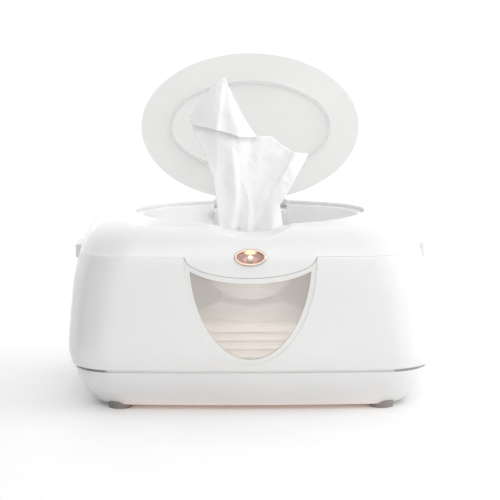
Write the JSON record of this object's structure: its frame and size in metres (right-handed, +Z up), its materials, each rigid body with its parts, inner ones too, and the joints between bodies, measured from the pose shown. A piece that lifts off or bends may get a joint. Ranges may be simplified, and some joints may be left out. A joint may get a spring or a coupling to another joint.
{
  "type": "baby wipe warmer",
  "caption": "Countertop wipe warmer: rounded housing with a half-oval front window, rear-hinged lid with a night light, and a flip door over an oval throat with a wipe pulled up.",
  "frame": {"origin": "on the table, under the centre of the bounding box", "axes": "+Z up, front with the window toward -Y, +X to the viewer's right"},
  "size_m": [0.265, 0.1908, 0.2403],
  "materials": {
    "white_plastic": "polished white moulding",
    "frosted_window": "frosted translucent",
    "frosted_door": "frosted translucent",
    "soft_seal": "soft silicone",
    "tub_plastic": "satin moulding",
    "aluminium_sheet": "rolled sheet",
    "film": "amber film",
    "insulation": "fibre mat",
    "steel": "plated steel",
    "circuit_board": "solder mask",
    "black_plastic": "moulded",
    "cable": "insulated wire",
    "grey_rubber": "matt rubber",
    "pad_fabric": "absorbent felt",
    "wipe_fabric": "moist nonwoven",
    "brass": "plated contact",
    "lamp_chrome": "bright",
    "lamp_bowl": "bright reflector",
    "lamp_bulb": "milky dome",
    "lamp_clear": "clear"
  },
  "bodies": {
    "housing": {"base_tray": "white_plastic", "outer_shell": "white_plastic", "front_window": "frosted_window", "inner_tub": "tub_plastic", "heater_plate": "aluminium_sheet", "heater_film": "film", "insulation_pad": "insulation", "thermostat": "steel", "thermal_fuse": "steel", "control_board": "circuit_board", "power_jack": "black_plastic", "inner_wiring": "cable", "rubber_feet": "grey_rubber", "base_screws": "steel", "board_screws": "steel", "moisture_pad": "pad_fabric", "wipe_stack": "wipe_fabric", "lid_hinge_pins": "steel", "contact_pads": "brass"},
    "lid": {"lid_shell": "white_plastic", "lid_liner": "tub_plastic", "lid_gasket": "soft_seal", "throat_guide": "white_plastic", "lid_screws": "steel", "lamp_bezel": "lamp_chrome", "lamp_reflector": "lamp_bowl", "lamp_led": "lamp_bulb", "lamp_lens": "lamp_clear", "lamp_board": "circuit_board", "lid_lead": "cable", "contact_pins": "brass", "door_pin": "steel", "pulled_wipe": "wipe_fabric"},
    "door": {"flip_door": "frosted_door", "door_seal": "soft_seal"},
    "left_latch": {"latch_button_left": "white_plastic"},
    "right_latch": {"latch_button_right": "white_plastic"}
  },
  "joints": [
    {"name": "lid_hinge", "type": "hinge", "parent": "housing", "child": "lid", "pos_m": [0, 0.0865, 0.113], "axis": [-1, 0, 0], "range_deg": [0, 100]},
    {"name": "flip_door_hinge", "type": "hinge", "parent": "lid", "child": "door", "pos_m": [0, 0.0605, 0.127], "axis": [1, 0, 0], "range_deg": [0, 102], "deforming": ["pulled_wipe"]},
    {"name": "left_latch_press", "type": "slide", "parent": "housing", "child": "left_latch", "axis": [1, 0, 0], "range_m": [0, 0.002], "stiffness_N_per_m": 1500, "springref_m": -0.001},
    {"name": "right_latch_press", "type": "slide", "parent": "housing", "child": "right_latch", "axis": [-1, 0, 0], "range_m": [0, 0.002], "stiffness_N_per_m": 1500, "springref_m": -0.001}
  ]
}
